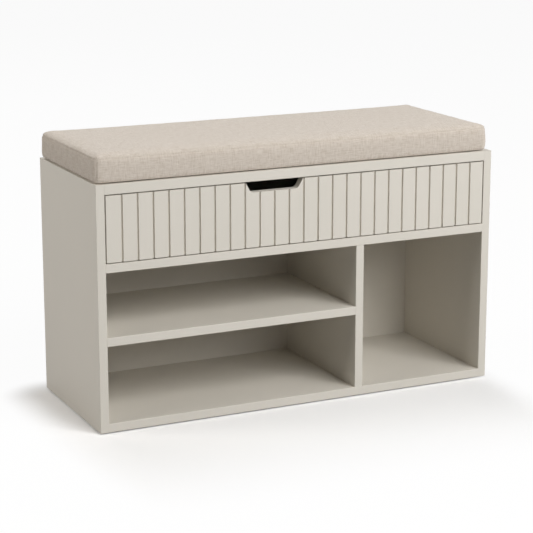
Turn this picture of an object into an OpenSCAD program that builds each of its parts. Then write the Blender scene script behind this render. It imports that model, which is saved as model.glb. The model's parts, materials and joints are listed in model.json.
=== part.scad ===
// Entryway bench: a flat-pack cabinet with two shoe bays, a boot bay, a full-width
// drawer on ball-bearing slides and a loose seat cushion.
// Millimetres. X runs along the front, the front faces -Y, Z is up.
// The origin lies on the floor under the middle of the cabinet.

/* [Cabinet] */
// Overall width across the side panels
bench_w = 800; // [740:1:1000]
// Overall depth from the front edges to the rear edges
bench_d = 300; // [296:1:380]
// Height of the cabinet without the cushion
cabinet_h = 450; // [445:1:520]
// Thickness of the two side panels
side_t = 16; // [15:0.5:22]
// Thickness of the top panel
top_t = 18; // [16:0.5:25]
// Thickness of the deck, shelf, divider and bottom panel
board_t = 16; // [15:0.5:19]
// Rounding of the painted front edges
edge_r = 0.6; // [0.2:0.1:1.2]
// Clear height of the drawer bay
drawer_bay_h = 123; // [121:1:135]
// Clear width of the boot bay on the right
boot_bay_w = 258; // [200:1:320]
// Clear height of the lower shoe bay
lower_bay_h = 142; // [110:1:175]

/* [Floor glides] */
// Height of a glide, which lifts the boards off the floor
glide_h = 2; // [1.5:0.5:5]
// Diameter of a glide
glide_d = 14; // [10:0.5:15]
// Distance of a glide's centre from the front or rear edge
glide_inset = 22; // [12:1:26]
// Length of a glide's nail
glide_nail = 12; // [8:1:13]

/* [Back panel] */
// Thickness of the hardboard back
back_t = 3; // [2.5:0.1:4]
// Distance from the rear edges to the groove that holds the back
back_inset = 8; // [6:0.5:12]
// Depth of the groove that holds the back
back_groove = 6; // [4:0.5:8]

/* [Fittings] */
// Distance of the front cam lock from the front edge
cam_from_front = 37; // [30:1:45]
// Distance of the rear cam lock from the rear edge
cam_from_rear = 47; // [42:1:60]
// Spacing of a dowel from its cam lock
dowel_pitch = 32; // [24:1:40]
// Distance of a cam lock's centre from the board's end
cam_reach = 34; // [24:1:40]
// Diameter of a cam lock
cam_d = 15; // [12:0.5:16]
// How far a cam lock reaches past the axis of its bolt
cam_past_axis = 3.5; // [3.4:0.1:4.5]
// Diameter of a cam bolt's thread
bolt_thread_d = 5; // [4:0.5:6]
// Depth of a cam bolt's thread in the joined board
bolt_thread_len = 11; // [8:0.5:12]
// Diameter of a wooden dowel
dowel_d = 8; // [6:0.5:9]
// Length of a wooden dowel
dowel_len = 30; // [24:1:36]

/* [Drawer front] */
// Thickness of the drawer front
front_t = 16; // [15:0.5:19]
// Gap all round the drawer front
front_gap = 2; // [1.5:0.25:3]
// Number of upright strips that the grooves mark off
strips = 26; // [16:2:32]
// Width of a groove at the face
groove_w = 3.6; // [1.5:0.1:4.4]
// Depth of a groove
groove_deep = 3.5; // [1.5:0.25:4]
// Number of strips that the finger cut-out spans
cutout_strips = 4; // [3:1:6]
// Strips from the middle of the front to the middle of the cut-out
cutout_shift = 2; // [0:1:6]
// Depth of the finger cut-out
cutout_deep = 18; // [14:0.5:19]
// How far each end of the cut-out leans in over its depth
cutout_lean = 10; // [4:0.5:16]
// Radius in the lower corners of the cut-out
cutout_r = 11; // [4:0.5:12]

/* [Drawer box] */
// Thickness of the drawer sides and back
box_t = 12; // [11.5:0.5:15]
// Height of the drawer sides
box_h = 90; // [80:1:92]
// Length of the drawer sides
box_len = 260; // [255:1:264]
// Height of the drawer box above the deck
box_lift = 10; // [6:1:12]
// Thickness of the hardboard drawer bottom
bottom_t = 3; // [2.5:0.1:4]
// Height of the drawer bottom above the lower edge of the sides
bottom_rise = 8; // [6:0.5:12]
// Depth of the groove that holds the drawer bottom
bottom_groove = 6; // [4:0.5:7]
// Width of the rail that stiffens the drawer bottom
rail_w = 40; // [25:1:60]
// Diameter of a drawer cam lock
box_cam_d = 15; // [12:0.5:16]
// Distance of a drawer cam lock from the drawer bottom or the top edge
box_cam_edge = 14; // [10:0.5:20]

/* [Drawer slides] */
// Length of a slide when closed
slide_len = 250; // [240:1:252]
// Height of a slide's cabinet member
slide_h = 45; // [43:0.5:50]
// Thickness of a slide, the side clearance of the drawer
slide_w = 12.7; // [12.5:0.1:14]
// Steel thickness of the rolled members
sheet_t = 1.2; // [1:0.05:1.3]
// Setback of the slides behind the drawer front
slide_setback = 2; // [1:0.5:4]
// Radius of a bearing ball
ball_r = 1.6; // [1.4:0.05:1.7]
// Play between a ball and its raceway
ball_play = 0.05; // [0.03:0.01:0.08]
// Distance of a slide's end screws from its ends
screw_from_end = 15; // [10:1:40]
// Number of balls in each row
balls = 8; // [4:2:10]
// Length of a ball cage
cage_len = 110; // [80:1:120]
// Steel thickness of a ball cage
cage_t = 0.5; // [0.3:0.05:0.6]

/* [Cushion] */
// Width of the cushion
cushion_w = 793; // [700:1:800]
// Depth of the cushion
cushion_d = 296; // [260:1:300]
// Thickness of the cushion
cushion_h = 50; // [30:1:80]
// How far the loose cushion lies to the left of the middle
cushion_left = 3.5; // [0:0.5:4]
// Rounding of the cushion's long edges
cushion_r = 5; // [4:0.5:12]
// Rounding of the cushion's upright corners
cushion_corner_r = 6; // [4:0.5:24]
// Thickness of the woven cover
cover_t = 1.2; // [0.8:0.1:2]
// Thickness of a hook or loop strip
strip_t = 0.9; // [0.6:0.05:1.2]
// Length of a hook or loop strip
strip_len = 100; // [60:1:140]
// Width of a hook or loop strip
strip_w = 20; // [16:1:30]

/* [Hidden] */

// Clearances
slip = 0.15;        // a panel in its groove, each face
bore_play = 0.05;   // a screw, bolt or dowel in its hole, on the radius
cam_play = 0.1;     // a cam lock in its bore
seat_gap = 0.2;     // hook strip to loop strip
eps = 1;            // how far a cut runs past a face

// Colours
paint = "#d6d0c5";
raw_board = "#cfc6b6";
hardboard = "#8a6f52";
zinc = "#c9ccd0";
beech = "#d9b98a";
linen = "#cfc4b4";
foam_white = "#efece2";
nylon = "#3a3a3a";

// Cabinet levels and planes
front_y = -bench_d / 2;
rear_y = bench_d / 2;
inner_x = bench_w / 2 - side_t;
bottom_z0 = glide_h;
bottom_z1 = bottom_z0 + board_t;
shelf_z0 = bottom_z1 + lower_bay_h;
top_z0 = cabinet_h - top_t;
deck_z1 = top_z0 - drawer_bay_h;
deck_z0 = deck_z1 - board_t;
divider_x1 = inner_x - boot_bay_w;
divider_x0 = divider_x1 - board_t;
groove_y1 = rear_y - back_inset;
groove_y0 = groove_y1 - back_t - 2 * slip;
inner_d = groove_y0 - front_y;

// Fittings: each joint is [x, z, rotation, board thickness]. In its local frame the
// bolt's axis is X, running from the joined face into the board's end, and the cam
// lock is let into the board's +Z face.
cam_y = [front_y + cam_from_front, rear_y - cam_from_rear];
dowel_y = [cam_y[0] + dowel_pitch, cam_y[1] - dowel_pitch];
top_joints = [
    [-inner_x, top_z0 + top_t / 2, [180, 0, 0], top_t],
    [inner_x, top_z0 + top_t / 2, [0, 180, 0], top_t]];
deck_joints = [
    [-inner_x, deck_z0 + board_t / 2, [0, 0, 0], board_t],
    [inner_x, deck_z0 + board_t / 2, [0, 0, 180], board_t]];
bottom_joints = [
    [-inner_x, bottom_z0 + board_t / 2, [180, 0, 0], board_t],
    [inner_x, bottom_z0 + board_t / 2, [0, 180, 0], board_t]];
shelf_joints = [
    [-inner_x, shelf_z0 + board_t / 2, [180, 0, 0], board_t],
    [divider_x0, shelf_z0 + board_t / 2, [0, 180, 0], board_t]];
divider_joints = [
    [divider_x0 + board_t / 2, bottom_z1, [180, -90, 0], board_t],
    [divider_x0 + board_t / 2, deck_z0, [0, 90, 0], board_t]];
all_joints = concat(top_joints, deck_joints, bottom_joints, shelf_joints, divider_joints);

cam_floor = 0.2;                 // space under a cam lock
neck_d = bolt_thread_d - 1;      // bolt neck that the cam lock grips
head_d = bolt_thread_d + 1;      // bolt head inside the cam lock
head_len = 3;
head_room = 0.25;
shank_clear = 1;                 // from the bolt's thick shank to its cam lock
bolt_bore_d = head_d + 1;
dowel_in_side = 10.5;            // dowel length in the joined board

back_screw_d = 3;
back_screw_head_d = 7;
back_screw_head_h = 1.8;
back_screw_len = 18;
back_screw_deck_x = [-0.3 * bench_w, 0, 0.3 * bench_w];
back_screw_shelf_x = [-0.3 * bench_w, -0.06 * bench_w];

glide_nail_d = 2;
glide_x = [-(inner_x + side_t / 2), divider_x0 + board_t / 2, inner_x + side_t / 2];
glide_y = [front_y + glide_inset, rear_y - glide_inset];

// Drawer front
front_w = 2 * (inner_x - front_gap);
front_z0 = deck_z1 + front_gap;
front_z1 = top_z0 - front_gap;
front_back_y = front_y + front_t;
strip_w_each = front_w / strips;
cutout_x = -cutout_shift * strip_w_each;
cutout_half = cutout_strips * strip_w_each / 2 - groove_w / 2;

// Drawer box
box_x1 = inner_x - slide_w;
box_x0 = box_x1 - box_t;
box_z0 = deck_z1 + box_lift;
box_z1 = box_z0 + box_h;
box_rear_y = front_back_y + box_len;
floor_z0 = box_z0 + bottom_rise;
floor_z1 = floor_z0 + bottom_t;
box_cam_z = [floor_z1 + box_cam_edge, box_z1 - box_cam_edge];
box_dowel_z = (box_cam_z[0] + box_cam_z[1]) / 2;
box_cam_reach = 24;
box_bolt_in_front = 9;
box_dowel_in_front = 8;
box_dowel_len = 24;
box_dowel_d = 6;
box_screw_d = 3.5;
box_screw_head_d = 7;
box_screw_len = 35;
box_screw_z = box_cam_z;
floor_screw_x = [-0.42 * front_w, -0.22 * front_w, 0.22 * front_w, 0.42 * front_w];
floor_screw_len = 16;

// Slide profile: u is measured from the cabinet wall, v from the slide's middle
race_r = ball_r + ball_play;
cup_r = race_r + sheet_t;
mouth = 0.5;                                   // half the gap between facing cups
outer_v = slide_h / 2 - cup_r;                 // outer ball row
outer_u = slide_w / 2 - 1.35;
row_gap = 2 * race_r + sheet_t;                // between the two ball rows
row_angle = 48.2;
inner_u = outer_u + row_gap * cos(row_angle);  // inner ball row
inner_v = outer_v - row_gap * sin(row_angle);
cup_reach = sqrt(race_r * race_r - mouth * mouth);
web_off = cup_r * 0.77;                        // web of the middle member from the outer row
web_rise = cup_r * 0.63;
cage_gap = 0.3;
slide_z = box_z0 + box_h / 2;
slide_y0 = front_back_y + slide_setback;
slide_y1 = slide_y0 + slide_len;
cage_y0 = slide_y0 + (slide_len - cage_len) / 2;
slide_screw_at = [screw_from_end, slide_len / 2, slide_len - screw_from_end];
slide_screw_d = 3.5;
slide_screw_head_d = 6.4;
slide_screw_sunk = 0.1;
cabinet_screw_len = 12;
drawer_screw_len = 10;
stop_tab = [3, 1.2, 12];

// Cushion
cushion_z0 = cabinet_h + 2 * strip_t + seat_gap;
strip_x = [-0.36 * cushion_w, 0, 0.36 * cushion_w];
strip_y = [-0.36 * cushion_d, 0.36 * cushion_d];

$fn = 48;

// ---------- shared forms ----------

// Rectangle from the origin with its two corners at y = 0 rounded
module eased_rect(w, d, r) {
    translate([0, r]) square([w, d - r]);
    translate([r, 0]) square([w - 2 * r, r]);
    for (x = [r, w - r]) translate([x, r]) circle(r);
}

// Rectangle about the origin with all corners rounded
module round_rect(w, d, r) {
    square([w - 2 * r, d], center = true);
    square([w, d - 2 * r], center = true);
    for (x = [-1, 1], y = [-1, 1])
        translate([x * (w / 2 - r), y * (d / 2 - r)]) circle(r);
}

// Upright board with eased front edges
module upright_board(x0, y0, z0, t, d, h) {
    translate([x0, y0, z0]) linear_extrude(h) eased_rect(t, d, edge_r);
}

// Level board with eased front edges
module level_board(x0, y0, z0, w, d, t) {
    translate([x0 + w, y0, z0]) rotate([0, -90, 0]) linear_extrude(w)
        eased_rect(t, d, edge_r);
}

// Carries its children to a joint of the cabinet at depth y
module at_joint(j, y) {
    translate([j[0], y, j[1]]) rotate(j[2]) children();
}

// Cylinder along +X from x0 to x1
module rod(x0, x1, d) {
    translate([x0, 0, 0]) rotate([0, 90, 0]) cylinder(h = x1 - x0, d = d);
}

// Cam lock: a drum with a mouth that grips the bolt's head, and a cross recess
module cam_lock(reach, board, d) {
    top = board / 2;
    h = top + cam_past_axis;
    translate([reach, 0, 0]) difference() {
        translate([0, 0, top - h]) cylinder(h = h, d = d - 2 * cam_play);
        rod(-d, 0, neck_d + 2 * head_room);
        rod(-head_len / 2 - head_room, head_len / 2 + head_room, head_d + 2 * head_room);
        for (a = [45, 135]) rotate([0, 0, a])
            translate([-3.5, -0.6, top - 2]) cube([7, 1.2, 2 + eps]);
    }
}

// Cam bolt: thread in the joined board, shank in the board's end, neck and head
module cam_bolt(reach, thread_len, d) {
    shank_end = reach - d / 2 - shank_clear;
    rod(-thread_len, 0, bolt_thread_d);
    rod(0, shank_end, head_d);
    rod(shank_end, reach, neck_d);
    rod(reach - head_len / 2, reach + head_len / 2, head_d);
}

// What a cam lock and its bolt take out of the board that carries the cam lock
module cam_board_cut(reach, board, d) {
    deep = board / 2 + cam_past_axis + cam_floor;
    translate([reach, 0, board / 2 - deep]) cylinder(h = deep + eps, d = d);
    rod(-eps, reach, bolt_bore_d);
}

// What a cam bolt takes out of the joined board
module cam_face_cut(thread_len) {
    rod(-thread_len - 0.5, 0.01, bolt_thread_d + 2 * bore_play);
}

// Hole for a dowel, half in each board
module dowel_cut(in_face, len, d) {
    rod(-in_face - 0.5, len - in_face + 0.5, d + 2 * bore_play);
}

// Cuts in a board that carries the cam locks of the given joints
module board_cuts(joints) {
    for (j = joints) {
        for (y = cam_y) at_joint(j, y) cam_board_cut(cam_reach, j[3], cam_d);
        for (y = dowel_y) at_joint(j, y) dowel_cut(dowel_in_side, dowel_len, dowel_d);
    }
}

// Cuts in a board that the given joints are screwed into
module face_cuts(joints) {
    for (j = joints) {
        for (y = cam_y) at_joint(j, y) cam_face_cut(bolt_thread_len);
        for (y = dowel_y) at_joint(j, y) dowel_cut(dowel_in_side, dowel_len, dowel_d);
    }
}

// Space of the back panel with its slip, which cuts every groove that holds it
module back_space(play) {
    reach_x = inner_x + back_groove - 0.5 + play;
    z0 = bottom_z1 - back_groove + 0.5 - play;
    z1 = top_z0 + back_groove - 0.5 + play;
    translate([-reach_x, groove_y0 + slip - min(play, slip), z0])
        cube([2 * reach_x, back_t + 2 * min(play, slip), z1 - z0]);
}

// Countersunk wood screw along +X, its flat head at x = 0
module flat_screw(len, d, head_d) {
    head_h = (head_d - d) / 2;
    rotate([0, 90, 0]) cylinder(h = head_h, d1 = head_d, d2 = d);
    rod(0, len, d);
}

// Hole of a countersunk screw, with its countersink let in to x = 0
module flat_screw_cut(len, d, head_d) {
    play = 2 * bore_play;
    head_h = (head_d - d) / 2;
    rotate([0, 90, 0]) cylinder(h = head_h, d1 = head_d + play, d2 = d + play);
    rod(-eps, 0, head_d + play);
    rod(0, len + 0.5, d + play);
}

// ---------- cabinet boards ----------

module side_panel(side) {
    face_joints = [for (j = all_joints) if (side * j[0] == inner_x) j];
    x0 = side < 0 ? -bench_w / 2 : inner_x;
    difference() {
        upright_board(x0, front_y, glide_h, side_t, bench_d, cabinet_h - glide_h);
        face_cuts(face_joints);
        back_space(0.5);
        glide_cuts();
        cabinet_screw_places(side)
            flat_screw_cut(cabinet_screw_len, slide_screw_d, slide_screw_head_d);
    }
}

module left_side_panel() { color(paint) side_panel(-1); }
module right_side_panel() { color(paint) side_panel(1); }

module top_panel() {
    color(paint) difference() {
        level_board(-inner_x, front_y, top_z0, 2 * inner_x, bench_d, top_t);
        board_cuts(top_joints);
        back_space(0.5);
    }
}

module drawer_deck() {
    color(paint) difference() {
        level_board(-inner_x, front_y, deck_z0, 2 * inner_x, inner_d, board_t);
        board_cuts(deck_joints);
        face_cuts([divider_joints[1]]);
        back_screw_cuts();
    }
}

module bottom_panel() {
    color(paint) difference() {
        level_board(-inner_x, front_y, bottom_z0, 2 * inner_x, bench_d, board_t);
        board_cuts(bottom_joints);
        face_cuts([divider_joints[0]]);
        back_space(0.5);
        glide_cuts();
    }
}

module divider_panel() {
    color(paint) difference() {
        upright_board(divider_x0, front_y, bottom_z1, board_t, inner_d, deck_z0 - bottom_z1);
        board_cuts(divider_joints);
        face_cuts([shelf_joints[1]]);
        back_screw_cuts();
    }
}

module shoe_shelf() {
    color(paint) difference() {
        level_board(-inner_x, front_y, shelf_z0, divider_x0 + inner_x, inner_d, board_t);
        board_cuts(shelf_joints);
        back_screw_cuts();
    }
}

module back_panel() {
    color(hardboard) difference() {
        back_space(0);
        back_screw_cuts();
    }
}

// ---------- cabinet hardware ----------

// Places of the back panel's screws, +X pointing forward into a board's rear edge
module back_screw_places() {
    y = groove_y0 + slip + back_t;
    spots = concat(
        [for (x = back_screw_deck_x) [x, deck_z0 + board_t / 2]],
        [for (x = back_screw_shelf_x) [x, shelf_z0 + board_t / 2]],
        [for (z = [bottom_z1 + lower_bay_h / 2, (shelf_z0 + board_t + deck_z0) / 2])
            [divider_x0 + board_t / 2, z]]);
    for (s = spots) translate([s[0], y, s[1]]) rotate([0, 0, -90]) children();
}

module back_screw_cuts() {
    back_screw_places() rod(-eps, back_screw_len + 0.5, back_screw_d + 2 * bore_play);
}

module back_panel_screws() {
    color(zinc) back_screw_places() {
        rod(-back_screw_head_h, 0, back_screw_head_d);
        rod(0, back_screw_len, back_screw_d);
    }
}

module glide_cuts() {
    for (x = glide_x, y = glide_y) translate([x, y, glide_h - eps])
        cylinder(h = glide_nail + 0.5 + eps, d = glide_nail_d + 2 * bore_play);
}

module floor_glides() {
    color(nylon) for (x = glide_x, y = glide_y) translate([x, y, 0]) {
        rotate_extrude() difference() {
            square([glide_d / 2, glide_h]);
            translate([glide_d / 2, 0]) rotate(45) square(0.8, center = true);
        }
        cylinder(h = glide_h + glide_nail, d = glide_nail_d);
    }
}

module cam_locks() {
    color(zinc) for (j = all_joints, y = cam_y)
        at_joint(j, y) cam_lock(cam_reach, j[3], cam_d);
}

module cam_bolts() {
    color(zinc) for (j = all_joints, y = cam_y)
        at_joint(j, y) cam_bolt(cam_reach, bolt_thread_len, cam_d);
}

module wood_dowels() {
    color(beech) for (j = all_joints, y = dowel_y)
        at_joint(j, y) rod(-dowel_in_side, dowel_len - dowel_in_side, dowel_d);
}

// ---------- drawer ----------

// Outline of the front with its finger cut-out, drawn in X and Z
module front_outline() {
    difference() {
        translate([-front_w / 2, front_z0]) square([front_w, front_z1 - front_z0]);
        translate([cutout_x, front_z1]) cutout_shape();
    }
}

// Finger cut-out below the top edge: leaning ends and round lower corners
module cutout_shape() {
    lean = atan(cutout_lean / cutout_deep);
    corner_x = cutout_half - cutout_lean * (cutout_deep - cutout_r) / cutout_deep
        - cutout_r / cos(lean);
    arc_x = corner_x + cutout_r * cos(lean);
    arc_z = -cutout_deep + cutout_r - cutout_r * sin(lean);
    top_x = cutout_half + cutout_lean * eps / cutout_deep;
    polygon([[-top_x, eps], [top_x, eps], [arc_x, arc_z], [corner_x, -cutout_deep],
        [-corner_x, -cutout_deep], [-arc_x, arc_z]]);
    for (s = [-1, 1]) translate([s * corner_x, -cutout_deep + cutout_r]) circle(cutout_r);
}

// Section of one groove, wide at the face and narrower at its floor
module groove_section() {
    floor_half = groove_w * 0.28;
    lead = groove_w * 0.12;
    polygon([[-groove_w / 2 - lead, -eps], [groove_w / 2 + lead, -eps],
        [groove_w / 2, lead], [floor_half, groove_deep], [-floor_half, groove_deep],
        [-groove_w / 2, lead]]);
}

module drawer_front() {
    color(paint) difference() {
        intersection() {
            translate([0, front_back_y, 0]) rotate([90, 0, 0]) linear_extrude(front_t)
                front_outline();
            translate([-front_w / 2, front_y, front_z0]) linear_extrude(front_z1 - front_z0)
                eased_rect(front_w, front_t, edge_r);
        }
        for (k = [1 : strips - 1])
            translate([-front_w / 2 + k * strip_w_each, front_y, front_z0 - eps])
                linear_extrude(front_z1 - front_z0 + 2 * eps) groove_section();
        drawer_floor(slip);
        box_joints() {
            cam_face_cut(box_bolt_in_front);
            dowel_cut(box_dowel_in_front, box_dowel_len, box_dowel_d);
        }
    }
}

// Joints of the drawer sides to the front: the first child goes to each cam bolt and
// the second to each dowel. Local X runs back into the side, local Z to its inner face.
module box_joints() {
    for (s = [-1, 1]) {
        for (z = box_cam_z) translate([s * (box_x0 + box_t / 2), front_back_y, z])
            rotate([0, s * -90, 0]) rotate([0, 0, 90]) children(0);
        translate([s * (box_x0 + box_t / 2), front_back_y, box_dowel_z])
            rotate([0, s * -90, 0]) rotate([0, 0, 90]) children(1);
    }
}

// The drawer bottom, with room in its grooves when play is given
module drawer_floor(play) {
    reach_x = box_x0 + bottom_groove - 0.5 + (play > 0 ? 0.5 : 0);
    y0 = front_back_y - bottom_groove + 0.5 - (play > 0 ? 0.5 : 0);
    y1 = box_rear_y + (play > 0 ? eps : 0);
    translate([-reach_x, y0, floor_z0 - play])
        cube([2 * reach_x, y1 - y0, bottom_t + 2 * play]);
}

// Places of the screws that hold the drawer back, +X pointing inward
module box_screw_places(side) {
    for (z = box_screw_z) translate([side * box_x1, box_rear_y - box_t / 2, z])
        rotate([0, 0, side > 0 ? 180 : 0]) children();
}

// Places of the screws under the drawer bottom, +X pointing up
module floor_screw_places() {
    for (x = floor_screw_x) translate([x, box_rear_y - box_t / 2, floor_z0])
        rotate([0, -90, 0]) children();
}

module drawer_side(side) {
    x0 = side < 0 ? -box_x1 : box_x0;
    difference() {
        translate([x0, front_back_y, box_z0]) cube([box_t, box_len, box_h]);
        drawer_floor(slip);
        box_joints() {
            cam_board_cut(box_cam_reach, box_t, box_cam_d);
            dowel_cut(box_dowel_in_front, box_dowel_len, box_dowel_d);
        }
        box_screw_places(side) flat_screw_cut(box_screw_len, box_screw_d, box_screw_head_d);
        drawer_screw_places(side)
            flat_screw_cut(drawer_screw_len, slide_screw_d, slide_screw_head_d);
    }
}

module drawer_left_side() { color(raw_board) drawer_side(-1); }
module drawer_right_side() { color(raw_board) drawer_side(1); }

module drawer_back() {
    z0 = floor_z1 + bore_play;
    color(raw_board) difference() {
        translate([-box_x0, box_rear_y - box_t, z0]) cube([2 * box_x0, box_t, box_z1 - z0]);
        for (s = [-1, 1])
            box_screw_places(s) flat_screw_cut(box_screw_len, box_screw_d, box_screw_head_d);
        floor_screw_places() rod(-eps, floor_screw_len + 0.5, back_screw_d + 2 * bore_play);
    }
}

module drawer_bottom() {
    color(hardboard) difference() {
        drawer_floor(0);
        floor_screw_places() rod(-eps, floor_screw_len, back_screw_d + 2 * bore_play);
    }
}

module drawer_bottom_rail() {
    z0 = box_z0 + bore_play;
    color(raw_board) translate([-rail_w / 2, front_back_y + bore_play, z0])
        cube([rail_w, box_len - bore_play, floor_z0 - bore_play - z0]);
}

module drawer_cam_locks() {
    color(zinc) box_joints() {
        cam_lock(box_cam_reach, box_t, box_cam_d);
        union() {}
    }
}

module drawer_cam_bolts() {
    color(zinc) box_joints() {
        cam_bolt(box_cam_reach, box_bolt_in_front, box_cam_d);
        union() {}
    }
}

module drawer_dowels() {
    color(beech) box_joints() {
        union() {}
        rod(-box_dowel_in_front, box_dowel_len - box_dowel_in_front, box_dowel_d);
    }
}

module drawer_back_screws() {
    color(zinc) for (s = [-1, 1])
        box_screw_places(s) flat_screw(box_screw_len, box_screw_d, box_screw_head_d);
}

module drawer_bottom_screws() {
    color(zinc) floor_screw_places() {
        rod(-back_screw_head_h, 0, back_screw_head_d);
        rod(0, floor_screw_len, back_screw_d);
    }
}

// ---------- ball-bearing slides ----------

// Half cup of rolled steel round a ball row: side 1 covers it from outside, -1 from inside
module cup(u, v, side) {
    translate([u, v]) intersection() {
        difference() {
            circle(cup_r);
            circle(race_r);
        }
        translate([-cup_r, side > 0 ? mouth : -cup_r - mouth]) square([2 * cup_r, cup_r]);
    }
}

// Draws its children above and, mirrored, below the slide's middle
module both_flanges() {
    children();
    mirror([0, 1]) children();
}

// Cabinet member: web on the side panel, flanges that cup the outer balls
module cabinet_section() {
    half = outer_v + mouth + sheet_t;
    translate([0, -half]) square([sheet_t, 2 * half]);
    both_flanges() {
        translate([0, outer_v + mouth]) square([outer_u - cup_reach, sheet_t]);
        cup(outer_u, outer_v, 1);
    }
}

// Middle member: its flanges turn over from under the outer balls to over the inner balls
module middle_section() {
    half = outer_v - web_rise;
    translate([outer_u - web_off, -half]) square([sheet_t, 2 * half]);
    both_flanges() {
        cup(outer_u, outer_v, -1);
        cup(inner_u, inner_v, 1);
    }
}

// Drawer member: web on the drawer side, flanges that cup the inner balls
module drawer_section() {
    half = inner_v - mouth;
    translate([slide_w - sheet_t, -half]) square([sheet_t, 2 * half]);
    both_flanges() {
        translate([inner_u + cup_reach, half - sheet_t])
            square([slide_w - inner_u - cup_reach, sheet_t]);
        cup(inner_u, inner_v, -1);
    }
}

// Channel-shaped cage whose arms carry one ball row each
module cage_section(web_u, row_u, row_v) {
    half = row_v + cage_t / 2;
    reach = row_u + race_r + 0.6 - web_u;
    difference() {
        translate([web_u, -half]) square([reach, 2 * half]);
        translate([web_u + cage_t, cage_t - half]) square([reach, 2 * (half - cage_t)]);
    }
}

// Carries its children, drawn with u, y and v along X, Y and Z, to the wall of one side
module at_wall(side) {
    if (side < 0) translate([-inner_x, 0, slide_z]) children();
    else mirror([1, 0, 0]) translate([-inner_x, 0, slide_z]) children();
}

// Extrudes a section from y0 to y1
module along_y(y0, y1) {
    translate([0, y1, 0]) rotate([90, 0, 0]) linear_extrude(y1 - y0) children();
}

// Places of the cabinet slide screws: heads sunk in the web, +X into the side panel
module cabinet_screw_places(side) {
    at_wall(side) for (s = slide_screw_at)
        translate([sheet_t - slide_screw_sunk, slide_y0 + s, 0]) mirror([1, 0, 0]) children();
}

// Places of the drawer slide screws: heads sunk in the web, +X into the drawer side
module drawer_screw_places(side) {
    at_wall(side) for (s = slide_screw_at)
        translate([slide_w - sheet_t + slide_screw_sunk, slide_y0 + s, 0]) children();
}

module cabinet_member(side) {
    difference() {
        union() {
            at_wall(side) along_y(slide_y0, slide_y1 + 2 * stop_tab[1]) cabinet_section();
            at_wall(side) translate([sheet_t, slide_y1 + stop_tab[1] / 2, -stop_tab[2] / 2])
                cube(stop_tab);
        }
        cabinet_screw_places(side)
            flat_screw_cut(cabinet_screw_len, slide_screw_d, slide_screw_head_d);
    }
}

module slide_cabinet_member_left() { color(zinc) cabinet_member(-1); }
module slide_cabinet_member_right() { color(zinc) cabinet_member(1); }

module middle_member(side) {
    at_wall(side) along_y(slide_y0, slide_y1) middle_section();
}

module slide_middle_member_left() { color(zinc) middle_member(-1); }
module slide_middle_member_right() { color(zinc) middle_member(1); }

module drawer_member(side) {
    difference() {
        at_wall(side) along_y(slide_y0, slide_y1) drawer_section();
        drawer_screw_places(side)
            flat_screw_cut(drawer_screw_len, slide_screw_d, slide_screw_head_d);
    }
}

module slide_drawer_member_left() { color(zinc) drawer_member(-1); }
module slide_drawer_member_right() { color(zinc) drawer_member(1); }

module cabinet_slide_screws() {
    color(zinc) for (s = [-1, 1])
        cabinet_screw_places(s) flat_screw(cabinet_screw_len, slide_screw_d, slide_screw_head_d);
}

module drawer_slide_screws() {
    color(zinc) for (s = [-1, 1])
        drawer_screw_places(s) flat_screw(drawer_screw_len, slide_screw_d, slide_screw_head_d);
}

// Places of the balls of one row pair: a group at each end of the cage
module ball_places(row_u, row_v) {
    pitch = 4 * ball_r;
    group = balls / 2;
    for (k = [0 : group - 1], end = [0, 1], v = [-row_v, row_v]) {
        y = end == 0 ? 8 + k * pitch : cage_len - 8 - k * pitch;
        translate([row_u, cage_y0 + y, v]) children();
    }
}

module ball_cage(side, web_u, row_u, row_v) {
    at_wall(side) difference() {
        along_y(cage_y0, cage_y0 + cage_len) cage_section(web_u, row_u, row_v);
        ball_places(row_u, row_v)
            cylinder(h = cage_t + 2 * eps, r = ball_r + ball_play, center = true);
    }
}

module ball_set(side, row_u, row_v) {
    at_wall(side) ball_places(row_u, row_v) sphere(ball_r);
}

outer_cage_u = sheet_t + cage_gap;
inner_cage_u = outer_u - web_off + sheet_t + cage_gap;
module outer_ball_cage_left() { color(zinc) ball_cage(-1, outer_cage_u, outer_u, outer_v); }
module outer_ball_cage_right() { color(zinc) ball_cage(1, outer_cage_u, outer_u, outer_v); }
module inner_ball_cage_left() { color(zinc) ball_cage(-1, inner_cage_u, inner_u, inner_v); }
module inner_ball_cage_right() { color(zinc) ball_cage(1, inner_cage_u, inner_u, inner_v); }
module outer_balls_left() { color(zinc) ball_set(-1, outer_u, outer_v); }
module outer_balls_right() { color(zinc) ball_set(1, outer_u, outer_v); }
module inner_balls_left() { color(zinc) ball_set(-1, inner_u, inner_v); }
module inner_balls_right() { color(zinc) ball_set(1, inner_u, inner_v); }

// ---------- cushion ----------

// Block with round edges: three rounded sections cut each other
module soft_block(w, d, h, edge, corner) {
    translate([-cushion_left, 0, cushion_z0 + cushion_h / 2]) intersection() {
        linear_extrude(h, center = true) round_rect(w, d, corner);
        rotate([90, 0, 0]) linear_extrude(d, center = true) round_rect(w, h, edge);
        rotate([90, 0, 90]) linear_extrude(w, center = true) round_rect(d, h, edge);
    }
}

module cushion_cover() {
    inner = 2 * cover_t;
    color(linen) difference() {
        soft_block(cushion_w, cushion_d, cushion_h, cushion_r, cushion_corner_r);
        soft_block(cushion_w - inner, cushion_d - inner, cushion_h - inner,
            cushion_r - cover_t, cushion_corner_r - cover_t);
    }
}

module cushion_foam() {
    inner = 2 * (cover_t + slip);
    color(foam_white) soft_block(cushion_w - inner, cushion_d - inner, cushion_h - inner,
        cushion_r - cover_t - slip, cushion_corner_r - cover_t - slip);
}

// Fastening strips at one level, as seen from above
module fastening_strips(z) {
    for (x = strip_x, y = strip_y) translate([x - cushion_left, y, z])
        linear_extrude(strip_t) square([strip_len, strip_w], center = true);
}

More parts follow.
